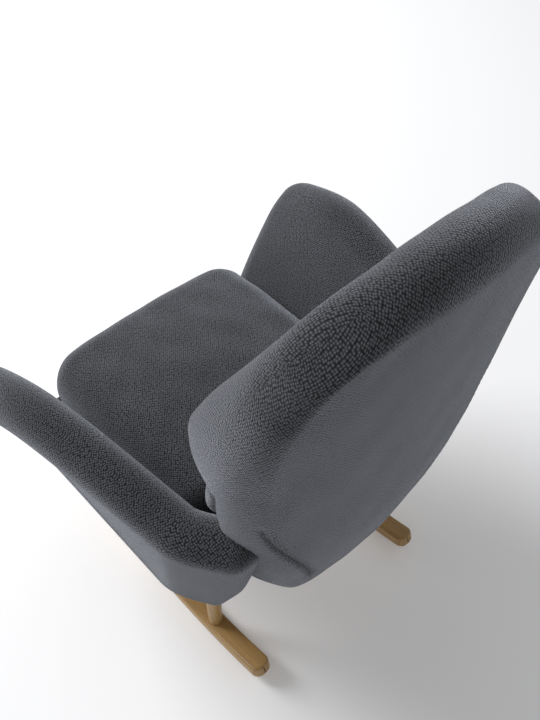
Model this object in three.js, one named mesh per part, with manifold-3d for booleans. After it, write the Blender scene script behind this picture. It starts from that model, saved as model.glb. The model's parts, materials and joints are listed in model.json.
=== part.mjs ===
// Upholstered rocking chair: a padded shell on a solid-wood base with two curved runners.
// Millimetres, +Z up, the front towards -Y, the origin on the floor under the middle of the chair.
import * as THREE from 'three';
import { mergeVertices } from 'three/addons/utils/BufferGeometryUtils.js';
import Module from 'manifold-3d';

// Clearances
const GAP = 0.3; // between hard pieces that touch
const SOFT_GAP = 1.5; // between upholstered pieces that press together

// Runners: flat bars bent to an arc that touches the floor at the balance point
const RUNNER_RADIUS = 780; // of the floor face
const RUNNER_FRONT = 369; // arc length in front of the balance point
const RUNNER_REAR = 202; // arc length behind it
const RUNNER_FLAT = 26; // length of the flat it rests on at the balance point
const RUNNER_WIDTH = 40;
const RUNNER_THICKNESS = 26;
const RUNNER_CHAMFER = 5;
const RUNNER_END_RADIUS = 14; // of the corners of an end, seen from above
const RUNNER_X = 205; // from the middle of the chair to a runner's middle
const BALANCE_Y = 113; // where the runners touch the floor, under the centre of mass

// Legs, beams and stretchers
const LEG_TOP_RADIUS = 17;
const LEG_FOOT_RADIUS = 13;
const FRONT_LEG_Y = -190;
const REAR_LEG_Y = 165;
const TENON_RADIUS = 8;
const TENON_DEPTH = 15;
const BEAM_DEPTH = 62; // along Y
const BEAM_HEIGHT = 28;
const BEAM_CORNER = 6;
const STRETCHER_RADIUS = 10;
const STRETCHER_RISE = 150; // of its axis above the floor
const STRETCHER_TENON_RADIUS = 6;
const STRETCHER_TENON_DEPTH = 9;

// Seat frame of rails with a block in each corner
const FRAME_BOTTOM = 288;
const RAIL_HEIGHT = 50;
const RAIL_THICKNESS = 25;
const FRAME_FRONT = -262;
const BLOCK_LEG = 60; // of a corner block along each rail
const BLOCK_INSET = 4; // of a corner block from the rails' top and bottom
const STRAP_WIDTH = 55;
const STRAP_THICKNESS = 2;
const STRAP_LANDING = 18; // of a strap on a rail or post
const SEAT_STRAPS = 4;
const SEAT_STRAP_SPACING = 102;
const DUST_COVER_THICKNESS = 1;

// Seat cushion
const SEAT_FRONT = -299;
const SEAT_UNDER = 44; // padding below and above its widest line
const SEAT_OVER = 60;
const SEAT_CROWN = 24;
const SEAT_EDGE = 50; // radius of its upper edge
const SEAT_UNDER_EDGE = 26; // radius of its lower edge
const SEAT_CORNER_PULL = 0.05; // share of the width lost at a front corner
const SEAT_CORNER_LENGTH = 0.4; // share of the length over which it is lost
const SEAT_CORNER = 56; // radius of its corners, seen from above
const SEAT_SIDE_GAP = 4; // between the cushion and an arm
const SEAT_BOW = 20; // of the front edge, from its middle to its ends
const SEAT_FOAM_THICKNESS = 55;
const SEAT_FOAM_MARGIN = 60; // of cushion left round the foam core
const APRON_THICKNESS = 18;
const APRON_RADIUS = 7;
const APRON_DROP = 3; // below the front rail

// Arms: padded wings that open outwards towards the front
const ARM_X = 268; // from the middle of the chair to an arm's middle, at the frame
const ARM_THICKNESS = 83;
const ARM_BOTTOM = FRAME_BOTTOM + 3;
const ARM_FRONT_TOP = ARM_BOTTOM + 337;
const ARM_REAR_TOP = ARM_BOTTOM + 274;
const ARM_TOP_FALLS_FROM = 0.3; // share of the length behind which the top falls to the rear
const ARM_FRONT_LOW_Y = -281;
const ARM_FRONT_HIGH_Y = -240;
const ARM_REAR_LOW_Y = 262;
const ARM_REAR_HIGH_Y = 345;
const ARM_FLARE_FRONT = 128;
const ARM_FLARE_REAR = 11;
const ARM_FLARE_START = 0.16; // share of the height below which an arm is upright
const ARM_FLARE_POWER = 1.15;
const ARM_REAR_X = 222; // from the middle of the chair to an arm's rear end, which turns in to the back
const ARM_WRAP_START = 0.8; // share of the length where it begins to turn
const ARM_CORNER = 0.31; // share of the length and height that the rounded top front corner takes
const ARM_CORNER_SETBACK = 27;
const ARM_CORNER_DROP = 64;
const PANEL_THICKNESS = 18;
const PANEL_FRONT = 0.13; // shares of an arm's length and height that its panel covers
const PANEL_REAR = 0.79;
const PANEL_TOP = 0.8;

// Back: a reclined shell with a deep head roll, and a cushion that tucks in under the roll
const BACK_Y = 257;
const BACK_Z = FRAME_BOTTOM - 4;
const BACK_RECLINE = THREE.MathUtils.degToRad(12);
const BACK_LENGTH = 786;
const BACK_BOTTOM_HALF_WIDTH = 180;
const BACK_HALF_WIDTH = 282;
const BACK_TOP_HALF_WIDTH = 269;
const BACK_WIDEST_AT = 0.65; // share of the length
const BACK_CYLINDER = 770; // radius of the curve from side to side
const BACK_SWELL = 21; // how far the shell's middle surface swells forward, halfway up
const SHELL_REAR = [75, 95, 86, 67, 42]; // padding behind the middle surface, from the bottom to the top
const SHELL_FRONT = -9; // padding in front of the middle surface, below the roll
const SHELL_TUCK = 26; // how far its rim stands back from that surface at the sides
const SHELL_TUCK_ENDS = [0.6, 0.85]; // shares of the length between which it comes forward again
const ROLL_FRONT = [124, 88, 58, 43]; // the same in the roll, from its underside to the top
const ROLL_SIDE_LOSS = 0.28; // share of the roll's padding lost at its sides
const SHELL_SIDE_WALL = 62;
const SHELL_HOLLOW = 28; // depth of the hollow behind the back's plane
const ROLL_START = 0.525; // share of the length where the roll begins
const ROLL_RADIUS = 45; // of the roll's underside
const SHOULDER_START = 0.638;
const SHOULDER_PULL = 0.32;
const SHOULDER_DROP = 64;
const SHELL_EDGE = 48; // radius of the shell's rim in front
const SHELL_REAR_EDGE = 40; // and behind
const SHELL_CORNER = 70; // radius of its upper corners, seen from the front
const BACK_CUSHION_THICKNESS = 48;
const BACK_CUSHION_BEHIND = 18; // the part of it behind its widest line
const BACK_CUSHION_LOW = 70; // along the back, from its bottom
const BACK_CUSHION_LOW_HALF_WIDTH = ARM_X - 62;
const BACK_CUSHION_HALF_WIDTH = 268;
const BACK_CUSHION_WIDENS_FROM = 235; // along the back, clear of the arms
const BACK_CUSHION_WIDENS_TO = 350;
const BACK_CUSHION_WRAP = 28; // how far its sides turn back round the frame
const BACK_CUSHION_WRAP_START = 165; // from the middle of the chair
const BACK_FOAM_THICKNESS = 26;
const BACK_FOAM_HALF_WIDTH = 150;
const BACK_FOAM_MARGIN = 55; // of cushion left above and below the core
const BACK_CUSHION_EDGE = 34;

// Back frame of two posts and three rails in a pocket of the shell
const POST_X = 125;
const POST_WIDTH = 40;
const POST_THICKNESS = 24;
const POST_START = 6;
const POST_END = 660;
const BACK_RAIL_WIDTH = 42;
const BACK_RAIL_STARTS = { lower: 100, middle: 350, top: 618 };
const BACK_STRAP_STARTS = [180, 265, 480];
const POCKET_MARGIN = 8;

// Bolts
const BOLT_RADIUS = 4;
const BOLT_HEAD_RADIUS = 7.5;
const BOLT_HEAD_HEIGHT = 5.5;
const FRONT_ARM_BOLT_Y = -160;
const REAR_ARM_BOLT_Y = 118;

// Values that follow from these
const FRAME_TOP = FRAME_BOTTOM + RAIL_HEIGHT;
const FRAME_HALF_WIDTH = ARM_X - PANEL_THICKNESS / 2 - GAP;
const RAIL_MIDDLE_X = FRAME_HALF_WIDTH - RAIL_THICKNESS / 2;
const BEAM_TOP = FRAME_BOTTOM - GAP;
const BEAM_BOTTOM = BEAM_TOP - BEAM_HEIGHT;
const SEAT_BOTTOM = FRAME_TOP + STRAP_THICKNESS + 3 * GAP;
const ROLL_START_LENGTH = ROLL_START * BACK_LENGTH;
const BACK_CUSHION_REAR = POST_THICKNESS + GAP + STRAP_THICKNESS + 2 * SOFT_GAP;
const BACK_CUSHION_FRONT = BACK_CUSHION_REAR + BACK_CUSHION_THICKNESS;

const { PI, abs, cos, max, min, sin, sqrt, tan } = Math;
const { lerp, smoothstep } = THREE.MathUtils;
const wasm = await Module();
wasm.setup();

// ---------------------------------------------------------------- materials

const material = (name, color, roughness, metalness = 0) =>
  new THREE.MeshStandardMaterial({ name, color, roughness, metalness });

const fabric = material('fabric', 0x4b4c51, 0.95);
const wood = material('wood', 0xa8865a, 0.5);
const beech = material('beech', 0xcaa879, 0.7);
const foam = material('foam', 0xe6dfb8, 0.95);
const webbing = material('webbing', 0x2a2a2c, 0.85);
const lining = material('lining', 0x1d1d1f, 0.95);
const steel = material('steel', 0x9b9da1, 0.35, 1);

// ---------------------------------------------------------------- closed shapes

// A closed geometry from points and triangles, turned so that its faces point out.
function closedGeometry(points, triangles) {
  let volume = 0;
  for (const [a, b, c] of triangles) {
    volume += points[a].dot(points[b].clone().cross(points[c]));
  }
  const order = volume < 0 ? [0, 2, 1] : [0, 1, 2];
  const geometry = new THREE.BufferGeometry();
  geometry.setAttribute('position', new THREE.Float32BufferAttribute(points.flatMap((p) => p.toArray()), 3));
  geometry.setIndex(triangles.flatMap((triangle) => order.map((k) => triangle[k])));
  return geometry;
}

function toSolid(geometry) {
  const bare = geometry.clone();
  bare.deleteAttribute('normal');
  bare.deleteAttribute('uv');
  const merged = mergeVertices(bare, 1e-4);
  return new wasm.Manifold(
    new wasm.Mesh({
      numProp: 3,
      vertProperties: merged.attributes.position.array,
      triVerts: new Uint32Array(merged.index.array),
    }),
  );
}

function toGeometry(solid) {
  const mesh = solid.getMesh();
  const geometry = new THREE.BufferGeometry();
  geometry.setAttribute('position', new THREE.BufferAttribute(new Float32Array(mesh.vertProperties), 3));
  geometry.setIndex(new THREE.BufferAttribute(new Uint32Array(mesh.triVerts), 1));
  return geometry;
}

// The geometry less every other one.
function cut(geometry, ...others) {
  return toGeometry(others.reduce((left, other) => left.subtract(toSolid(other)), toSolid(geometry)));
}

function join(geometry, ...others) {
  return toGeometry(others.reduce((whole, other) => whole.add(toSolid(other)), toSolid(geometry)));
}

// The largest body of a geometry, without the slivers that a cut leaves.
function largest(geometry) {
  const bodies = toSolid(geometry).decompose();
  return toGeometry(bodies.reduce((most, body) => (body.volume() > most.volume() ? body : most)));
}

const block = (x, y, z, grow = 0) =>
  new THREE.BoxGeometry(x[1] - x[0] + 2 * grow, y[1] - y[0] + 2 * grow, z[1] - z[0] + 2 * grow).translate(
    (x[0] + x[1]) / 2,
    (y[0] + y[1]) / 2,
    (z[0] + z[1]) / 2,
  );

// A round bar along Z from the origin, with a radius at each end.
const roundBar = (length, radius, endRadius = radius, sides = 16) =>
  new THREE.CylinderGeometry(endRadius, radius, length, sides).rotateX(PI / 2).translate(0, 0, length / 2);

// A bar with rounded corners, extruded along Z from the origin.
function roundedBar(width, depth, length, radius) {
  const [w, d] = [width / 2, depth / 2];
  const outline = new THREE.Shape();
  outline.absarc(w - radius, d - radius, radius, 0, PI / 2);
  outline.absarc(radius - w, d - radius, radius, PI / 2, PI);
  outline.absarc(radius - w, radius - d, radius, PI, 1.5 * PI);
  outline.absarc(w - radius, radius - d, radius, 1.5 * PI, 2 * PI);
  outline.closePath();
  return new THREE.ExtrudeGeometry(outline, { depth: length, bevelEnabled: false, curveSegments: 3 });
}

// Rounding of a padded rim: 0 at the edge, 1 from one radius inwards.
const rimRise = (distance, radius) => sqrt(max(0, 1 - (1 - min(1, distance / radius)) ** 2));

// A value a share of the way along a row of evenly spaced values.
function graded(values, share) {
  const place = min(values.length - 1.001, max(0, share) * (values.length - 1));
  const start = Math.floor(place);
  return lerp(values[start], values[start + 1], place - start);
}

// Steps from 0 to 1 across a pad, closer together in its rounded rim.
function rimSteps(length, radius, rimCells, middleCells) {
  const rim = [];
  for (let i = 0; i < rimCells; i += 1) rim.push((radius / length) * (1 - cos((i / rimCells) * (PI / 2))));
  const middle = [];
  for (let i = 0; i <= middleCells; i += 1) middle.push(lerp(radius / length, 1 - radius / length, i / middleCells));
  return [...rim, ...middle, ...rim.map((step) => 1 - step).reverse()];
}

// Where a point of a pad's grid lies: its distances in from the two nearest edges, with the grid's corner
// turned into a round one, and its distance in from the outline.
function intoPad(inU, inV, corner) {
  const a = 1 - inU / corner;
  const b = 1 - inV / corner;
  if (a <= 0 || b <= 0) return [inU, inV, min(inU, inV)];
  const [roundA, roundB] = [a * sqrt(1 - (b * b) / 2), b * sqrt(1 - (a * a) / 2)];
  return [corner * (1 - roundA), corner * (1 - roundB), corner * (1 - Math.hypot(roundA, roundB))];
}

// A padded form round a patch of surface. patch(u, v) is a point of the patch. above and below give the
// padding on its two sides, rounded off within edge and underEdge of the rim. corner is the radius of the
// patch's four corners. stops are more places along v.
function pad({ patch, length, width, edge, underEdge = edge, above, below, cells = [5, 5], rimCells = 3, ...more }) {
  const { stops = [], corner = max(edge, underEdge) } = more;
  const us = rimSteps(width, max(edge, underEdge), rimCells, cells[0]);
  const vs = [...rimSteps(length, max(edge, underEdge), rimCells, cells[1]), ...stops].sort((a, b) => a - b);
  const small = 1e-3;
  const points = [];
  const top = us.map(() => []);
  const bottom = us.map(() => []);
  us.forEach((gridU, i) => {
    vs.forEach((gridV, j) => {
      const [inU, inV, inwards] = intoPad(min(gridU, 1 - gridU) * width, min(gridV, 1 - gridV) * length, corner);
      const u = gridU < 0.5 ? inU / width : 1 - inU / width;
      const v = gridV < 0.5 ? inV / length : 1 - inV / length;
      const middle = patch(u, v);
      const along = patch(min(1, u + small), v).sub(patch(max(0, u - small), v));
      const across = patch(u, min(1, v + small)).sub(patch(u, max(0, v - small)));
      const out = along.cross(across).normalize();
      const rise = above(u, v) * rimRise(inwards, edge);
      const fall = below(u, v) * rimRise(inwards, underEdge);
      const onRim = i === 0 || j === 0 || i === us.length - 1 || j === vs.length - 1;
      top[i][j] = points.push(middle.clone().addScaledVector(out, onRim ? 0 : rise)) - 1;
      bottom[i][j] = onRim ? top[i][j] : points.push(middle.clone().addScaledVector(out, -fall)) - 1;
    });
  });
  const triangles = [];
  for (let i = 0; i < us.length - 1; i += 1) {
    for (let j = 0; j < vs.length - 1; j += 1) {
      // The diagonal leaves each corner of the patch, so that no face lies wholly in the rim.
      const leaning = i < us.length / 2 - 1 === j < vs.length / 2 - 1;
      for (const [side, turned] of [[top, false], [bottom, true]]) {
        const [a, b, c, d] = [side[i][j], side[i + 1][j], side[i + 1][j + 1], side[i][j + 1]];
        const pair = leaning ? [[a, b, c], [a, c, d]] : [[a, b, d], [b, c, d]];
        triangles.push(...pair.map((t) => (turned ? t.reverse() : t)));
      }
    }
  }
  return closedGeometry(points, triangles);
}

// A sheet of even thickness through the points at(u, row, side): u is a share, and side is 0 or 1.
function slab(at, cells) {
  const points = [];
  const grid = [0, 1].map((side) =>
    Array.from({ length: cells[0] + 1 }, (_, i) =>
      Array.from({ length: cells[1] + 1 }, (__, j) => points.push(at(i / cells[0], j, side)) - 1),
    ),
  );
  const triangles = [];
  const quad = (a, b, c, d) => triangles.push([a, b, c], [a, c, d]);
  const [near, far] = grid;
  for (let i = 0; i < cells[0]; i += 1) {
    for (let j = 0; j < cells[1]; j += 1) {
      quad(near[i][j], near[i][j + 1], near[i + 1][j + 1], near[i + 1][j]);
      quad(far[i][j], far[i + 1][j], far[i + 1][j + 1], far[i][j + 1]);
    }
    quad(near[i][0], near[i + 1][0], far[i + 1][0], far[i][0]);
    quad(near[i][cells[1]], far[i][cells[1]], far[i + 1][cells[1]], near[i + 1][cells[1]]);
  }
  for (let j = 0; j < cells[1]; j += 1) {
    quad(near[0][j], far[0][j], far[0][j + 1], near[0][j + 1]);
    quad(near[cells[0]][j], near[cells[0]][j + 1], far[cells[0]][j + 1], far[cells[0]][j]);
  }
  return closedGeometry(points, triangles);
}

// ---------------------------------------------------------------- assembly

const chair = new THREE.Group();

function add(name, geometry, finish, parent = chair) {
  const mesh = new THREE.Mesh(geometry, finish);
  mesh.name = name;
  parent.add(mesh);
  return mesh;
}

function mirrored(geometry) {
  const copy = geometry.clone().scale(-1, 1, 1);
  const order = copy.index.array;
  for (let i = 0; i < order.length; i += 3) [order[i + 1], order[i + 2]] = [order[i + 2], order[i + 1]];
  return copy;
}

// A piece drawn for the left side, and its mirror image on the right.
function addPair(name, geometry, finish, parent = chair) {
  add(`${name}_left`, geometry, finish, parent);
  add(`${name}_right`, mirrored(geometry), finish, parent);
}

// A hex-head bolt along Z with its head under the origin, and the hole that takes it.
const bolt = (length) =>
  join(
    roundBar(BOLT_HEAD_HEIGHT, BOLT_HEAD_RADIUS, BOLT_HEAD_RADIUS, 6).translate(0, 0, -BOLT_HEAD_HEIGHT),
    roundBar(length + 1, BOLT_RADIUS, BOLT_RADIUS, 12).translate(0, 0, -1),
  );
const boltHole = (length) => roundBar(length + 6, BOLT_RADIUS + GAP, BOLT_RADIUS + GAP, 12).translate(0, 0, -5);

// ---------------------------------------------------------------- runners

// A runner's cross-section at an angle round its arc, grown by grow on every side.
function runnerRing(angle, halfWidth, grow) {
  const low = RUNNER_RADIUS + grow;
  const high = RUNNER_RADIUS - RUNNER_THICKNESS - grow;
  const w = halfWidth + grow;
  const c = RUNNER_CHAMFER;
  const half = [[w - c, low], [w, low - c], [w, high + c], [w - c, high]];
  const outline = [...half, ...half.map(([x, r]) => [-x, r]).reverse()];
  return outline.map(
    ([x, r]) => new THREE.Vector3(RUNNER_X + x, BALANCE_Y + r * sin(angle), RUNNER_RADIUS - r * cos(angle)),
  );
}

function runnerGeometry(grow = 0) {
  const corner = RUNNER_END_RADIUS;
  const [front, rear] = [-RUNNER_FRONT, RUNNER_REAR];
  const arcs = (from, to) => {
    const cells = Math.round(abs(to - from) / RUNNER_FLAT);
    return Array.from({ length: cells + 1 }, (_, i) => lerp(from, to, i / cells));
  };
  const half = RUNNER_WIDTH / 2;
  const ends = [0, 0.25, 0.6].map((share) => [share * corner, half - corner * (1 - rimRise(share, 1))]);
  const curved = [...arcs(front + corner, -RUNNER_FLAT / 2), ...arcs(RUNNER_FLAT / 2, rear - corner)];
  const stations = [
    ...ends.map(([inwards, w]) => [front + inwards, w]),
    ...curved.map((arc) => [arc, half]),
    ...ends.map(([inwards, w]) => [rear - inwards, w]).reverse(),
  ];
  const rings = stations.map(([arc, w]) => runnerRing(arc / RUNNER_RADIUS, w, grow));
  const n = rings[0].length;
  const last = (rings.length - 1) * n;
  const triangles = [];
  for (let start = 0; start < last; start += n) {
    for (let k = 0; k < n; k += 1) {
      const [a, b] = [start + k, start + ((k + 1) % n)];
      triangles.push([a, b, b + n], [a, b + n, a + n]);
    }
  }
  for (let k = 1; k < n - 1; k += 1) triangles.push([0, k + 1, k], [last, last + k, last + k + 1]);
  return closedGeometry(rings.flat(), triangles);
}

// The height of a runner's upper face at a place along Y.
const runnerTop = (y) => RUNNER_RADIUS - sqrt((RUNNER_RADIUS - RUNNER_THICKNESS) ** 2 - (y - BALANCE_Y) ** 2);

const LEGS = { front: FRONT_LEG_Y, rear: REAR_LEG_Y };
const mortises = Object.values(LEGS).map((y) =>
  roundBar(4 * TENON_DEPTH, TENON_RADIUS + GAP).translate(RUNNER_X, y, runnerTop(y) - TENON_DEPTH - GAP),
);
addPair('runner', cut(runnerGeometry(), ...mortises), wood);

// ---------------------------------------------------------------- legs, stretchers and beams

const legTop = BEAM_BOTTOM - GAP;
const stretcherReach = RUNNER_X - LEG_FOOT_RADIUS + STRETCHER_TENON_DEPTH;

// A leg tapers to its foot, which is hollowed to sit on the runner round its tenon.
function legGeometry(y) {
  const middleOfRunner = runnerTop(y) - RUNNER_THICKNESS / 2;
  const tenonStart = runnerTop(y) - TENON_DEPTH;
  const shaft = roundBar(legTop - middleOfRunner, LEG_FOOT_RADIUS, LEG_TOP_RADIUS);
  const tenon = roundBar(legTop + TENON_DEPTH - tenonStart, TENON_RADIUS);
  const socket = roundBar(2 * LEG_TOP_RADIUS, STRETCHER_TENON_RADIUS + GAP).rotateY(-PI / 2);
  return cut(
    join(
      cut(shaft.translate(RUNNER_X, y, middleOfRunner), runnerGeometry(GAP)),
      tenon.translate(RUNNER_X, y, tenonStart),
    ),
    socket.translate(stretcherReach + GAP, y, STRETCHER_RISE),
  );
}

for (const [end, y] of Object.entries(LEGS)) {
  addPair(`leg_${end}`, legGeometry(y), wood);

  const shoulder = RUNNER_X - LEG_TOP_RADIUS - GAP;
  const stretcher = join(
    roundBar(2 * shoulder, STRETCHER_RADIUS).translate(0, 0, -shoulder),
    roundBar(2 * stretcherReach, STRETCHER_TENON_RADIUS).translate(0, 0, -stretcherReach),
  );
  add(`stretcher_${end}`, stretcher.rotateY(PI / 2), wood).position.set(0, y, STRETCHER_RISE);

  const beam = roundedBar(2 * FRAME_HALF_WIDTH, BEAM_DEPTH, BEAM_HEIGHT, BEAM_CORNER);
  const holes = [-1, 1].flatMap((side) => [
    roundBar(2 * TENON_DEPTH + GAP, TENON_RADIUS + GAP).translate(side * RUNNER_X, y, BEAM_BOTTOM - TENON_DEPTH),
    boltHole(2 * BEAM_HEIGHT).translate(side * RAIL_MIDDLE_X, y, BEAM_BOTTOM),
  ]);
  add(`beam_${end}`, cut(beam.translate(0, y, BEAM_BOTTOM), ...holes), wood);

  addPair(
    `seat_bolt_${end}`,
    bolt(BEAM_HEIGHT + RAIL_HEIGHT / 2).translate(RAIL_MIDDLE_X, y, BEAM_BOTTOM - GAP),
    steel,
  );
}

// ---------------------------------------------------------------- back
// It has a reclined frame of its own: Z runs up the back and -Y points to the sitter. Its middle surface
// is a cylinder about Z that curves forward at the sides.

const back = new THREE.Group();
back.position.set(0, BACK_Y, BACK_Z);
back.rotation.x = -BACK_RECLINE;
back.updateMatrix();
chair.add(back);

const inChair = (geometry) => geometry.clone().applyMatrix4(back.matrix);
const backPoint = (x, up, front) => new THREE.Vector3(x, -(x * x) / (2 * BACK_CYLINDER) - front, up);
const backBlock = (x, front, up, grow = 0) => block(x, [-front[1], -front[0]], up, grow);
// How far up the back a height in the chair lies, at a distance in front of the back's plane.
const upBack = (z, front) => (z - BACK_Z - front * sin(BACK_RECLINE)) / cos(BACK_RECLINE);

function shellHalfWidth(v) {
  const low = lerp(BACK_BOTTOM_HALF_WIDTH, BACK_HALF_WIDTH, sin(min(1, v / BACK_WIDEST_AT) * (PI / 2)));
  const high = lerp(BACK_HALF_WIDTH, BACK_TOP_HALF_WIDTH, smoothstep(v, BACK_WIDEST_AT, 1));
  const shoulder = max(0, (v - SHOULDER_START) / (1 - SHOULDER_START));
  return (v < BACK_WIDEST_AT ? low : high) * (1 - SHOULDER_PULL * shoulder ** 2);
}

// How far the shell's ends hang below its middle at a share of its length.
const crownDrop = (v, across) => SHOULDER_DROP * v ** 4 * across ** 2;

// How far the shell's sides stand back from its middle surface.
const shellTuck = (u, v) => SHELL_TUCK * (1 - smoothstep(v, ...SHELL_TUCK_ENDS)) * (2 * u - 1) ** 4;

// The shell. Grown, it is the space that the arms leave for it, with no dip in its front.
function shellGeometry(grow = 0) {
  const lowFront = grow || SHELL_FRONT;
  const reach = BACK_LENGTH + 2 * grow;
  return pad({
    length: reach,
    width: 2 * BACK_HALF_WIDTH,
    edge: SHELL_EDGE,
    underEdge: SHELL_REAR_EDGE,
    corner: SHELL_CORNER,
    cells: [6, 9],
    stops: [0, 0.1, 0.4, 1].map((share) => ROLL_START + (share * ROLL_RADIUS) / BACK_LENGTH),
    patch: (u, v) => {
      const across = 2 * u - 1;
      const up = v * reach - grow - crownDrop(v, across);
      const front = BACK_SWELL * sin(PI * v) - shellTuck(u, v);
      return backPoint(across * (shellHalfWidth(v) + grow), up, front);
    },
    above: (u, v) => {
      const intoRoll = max(0, (v - ROLL_START) * BACK_LENGTH);
      const share = max(0, (v - ROLL_START) / (1 - ROLL_START));
      const roll = graded(ROLL_FRONT, share) * (1 - ROLL_SIDE_LOSS * (2 * u - 1) ** 2);
      return lerp(lowFront, roll + shellTuck(u, v) + grow, rimRise(intoRoll, ROLL_RADIUS));
    },
    below: (u, v) => graded(SHELL_REAR, v) - shellTuck(u, v) + grow,
  });
}

const postOuter = POST_X + POST_WIDTH / 2;
const postInner = POST_X - POST_WIDTH / 2;
const rearRailBack = POST_THICKNESS + GAP;
const rearRailFront = rearRailBack + RAIL_THICKNESS;
const rearRailBottom = upBack(FRAME_BOTTOM, rearRailBack);
const rearRailTop = upBack(FRAME_TOP, rearRailFront);

const pocketWidth = [-postOuter - POCKET_MARGIN, postOuter + POCKET_MARGIN];
const below = -BACK_LENGTH;
const inFront = 2 * ROLL_FRONT[0];
const framePocket = backBlock(pocketWidth, [-GAP, POST_THICKNESS + POCKET_MARGIN], [below, POST_END + GAP]);
const openPocket = backBlock(pocketWidth, [-GAP, inFront], [below, ROLL_START_LENGTH - POCKET_MARGIN]);
// The shell is hollow behind the cushion, with a padded wall at the rear and the sides.
const hollowRows = [0.1, 0.2, 0.3, 0.4, ROLL_START - POCKET_MARGIN / BACK_LENGTH];
const hollow = slab((u, row, side) => {
  const half = shellHalfWidth(hollowRows[row]) - SHELL_SIDE_WALL;
  return backPoint(lerp(-half, half, u), hollowRows[row] * BACK_LENGTH, side ? inFront : -SHELL_HOLLOW);
}, [6, hollowRows.length - 1]);
const rearRailNotch = backBlock(
  [-FRAME_HALF_WIDTH - GAP, FRAME_HALF_WIDTH + GAP],
  [POST_THICKNESS, inFront],
  [below, rearRailTop + POCKET_MARGIN],
);
add('back_shell', cut(shellGeometry(), framePocket, openPocket, hollow, rearRailNotch), fabric, back);

const placeBackBolt = (geometry, side = 1) =>
  geometry.rotateX(-PI / 2).translate(side * POST_X, -rearRailFront - GAP, (rearRailBottom + rearRailTop) / 2);
const backBoltLength = RAIL_THICKNESS + (2 * POST_THICKNESS) / 3;
const post = backBlock([postInner, postOuter], [0, POST_THICKNESS], [POST_START, POST_END]);
addPair('back_post', cut(post, placeBackBolt(boltHole(backBoltLength))), beech, back);
addPair('back_bolt', placeBackBolt(bolt(backBoltLength)), steel, back);

for (const [name, start] of Object.entries(BACK_RAIL_STARTS)) {
  const across = [GAP - postInner, postInner - GAP];
  add(`back_rail_${name}`, backBlock(across, [0, POST_THICKNESS], [start, start + BACK_RAIL_WIDTH]), beech, back);
}

BACK_STRAP_STARTS.forEach((start, i) => {
  const reach = postInner + STRAP_LANDING;
  const front = POST_THICKNESS + GAP;
  const strap = backBlock([-reach, reach], [front, front + STRAP_THICKNESS], [start, start + STRAP_WIDTH]);
  add(`back_strap_${i + 1}`, strap, webbing, back);
});

const backCushionHigh = ROLL_START_LENGTH - SOFT_GAP;

function backCushionGeometry(grow = 0) {
  const low = BACK_CUSHION_LOW - grow;
  const reach = backCushionHigh + grow - low;
  return pad({
    length: reach,
    width: 2 * BACK_CUSHION_HALF_WIDTH,
    edge: BACK_CUSHION_EDGE,
    underEdge: BACK_CUSHION_BEHIND,
    cells: [6, 6],
    patch: (u, v) => {
      const up = low + v * reach;
      const spread = smoothstep(up, BACK_CUSHION_WIDENS_FROM, BACK_CUSHION_WIDENS_TO);
      const half = lerp(BACK_CUSHION_LOW_HALF_WIDTH, BACK_CUSHION_HALF_WIDTH, spread) + grow;
      const across = 2 * u - 1;
      const wrap = BACK_CUSHION_WRAP * smoothstep(abs(across) * half, BACK_CUSHION_WRAP_START, half);
      const front = BACK_CUSHION_REAR + BACK_CUSHION_BEHIND - wrap;
      return backPoint(across * half, up - crownDrop(up / BACK_LENGTH, across), front);
    },
    above: () => BACK_CUSHION_THICKNESS - BACK_CUSHION_BEHIND + grow,
    below: () => BACK_CUSHION_BEHIND + grow,
  });
}

// Foam core of the back cushion. Grown, it is the pocket that takes the core.
function backFoamGeometry(grow = 0) {
  const low = BACK_CUSHION_LOW + BACK_FOAM_MARGIN - grow;
  const high = backCushionHigh - BACK_FOAM_MARGIN + grow;
  const rear = grow ? 0 : BACK_CUSHION_REAR + GAP;
  const front = BACK_CUSHION_REAR + BACK_FOAM_THICKNESS + grow;
  const half = BACK_FOAM_HALF_WIDTH + grow;
  return slab((u, row, side) => backPoint(lerp(-half, half, u), row ? high : low, side ? front : rear), [6, 1]);
}

add('back_cushion', cut(backCushionGeometry(), backFoamGeometry(GAP)), fabric, back);
add('back_foam', backFoamGeometry(), foam, back);

// ---------------------------------------------------------------- seat frame

const wholeWidth = [-FRAME_HALF_WIDTH, FRAME_HALF_WIDTH];
const railHeights = [FRAME_BOTTOM, FRAME_TOP];
const rearRail = backBlock(wholeWidth, [rearRailBack, rearRailFront], [rearRailBottom, rearRailTop]);
const rearRailHoles = [-1, 1].map((side) => placeBackBolt(boltHole(backBoltLength), side));
add('seat_rail_rear', cut(rearRail, ...rearRailHoles), beech, back);

const frontRailBack = FRAME_FRONT + RAIL_THICKNESS;
add('seat_rail_front', block(wholeWidth, [FRAME_FRONT, frontRailBack], railHeights), beech);

// The side rails and the rear blocks end at the slope of the reclined rear rail.
const behindRearRail = inChair(
  backBlock([-2 * ARM_X, 2 * ARM_X], [-BACK_LENGTH, rearRailFront + GAP], [-BACK_LENGTH, BACK_LENGTH]),
);
const sideRailInner = FRAME_HALF_WIDTH - RAIL_THICKNESS;
const armBoltZ = (FRAME_BOTTOM + FRAME_TOP) / 2;
const armBoltLength = RAIL_THICKNESS + (2 * PANEL_THICKNESS) / 3;
const armBoltYs = { front: FRONT_ARM_BOLT_Y, rear: REAR_ARM_BOLT_Y };
const placeArmBolt = (geometry, y) => geometry.rotateY(PI / 2).translate(sideRailInner - GAP, y, armBoltZ);

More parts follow.
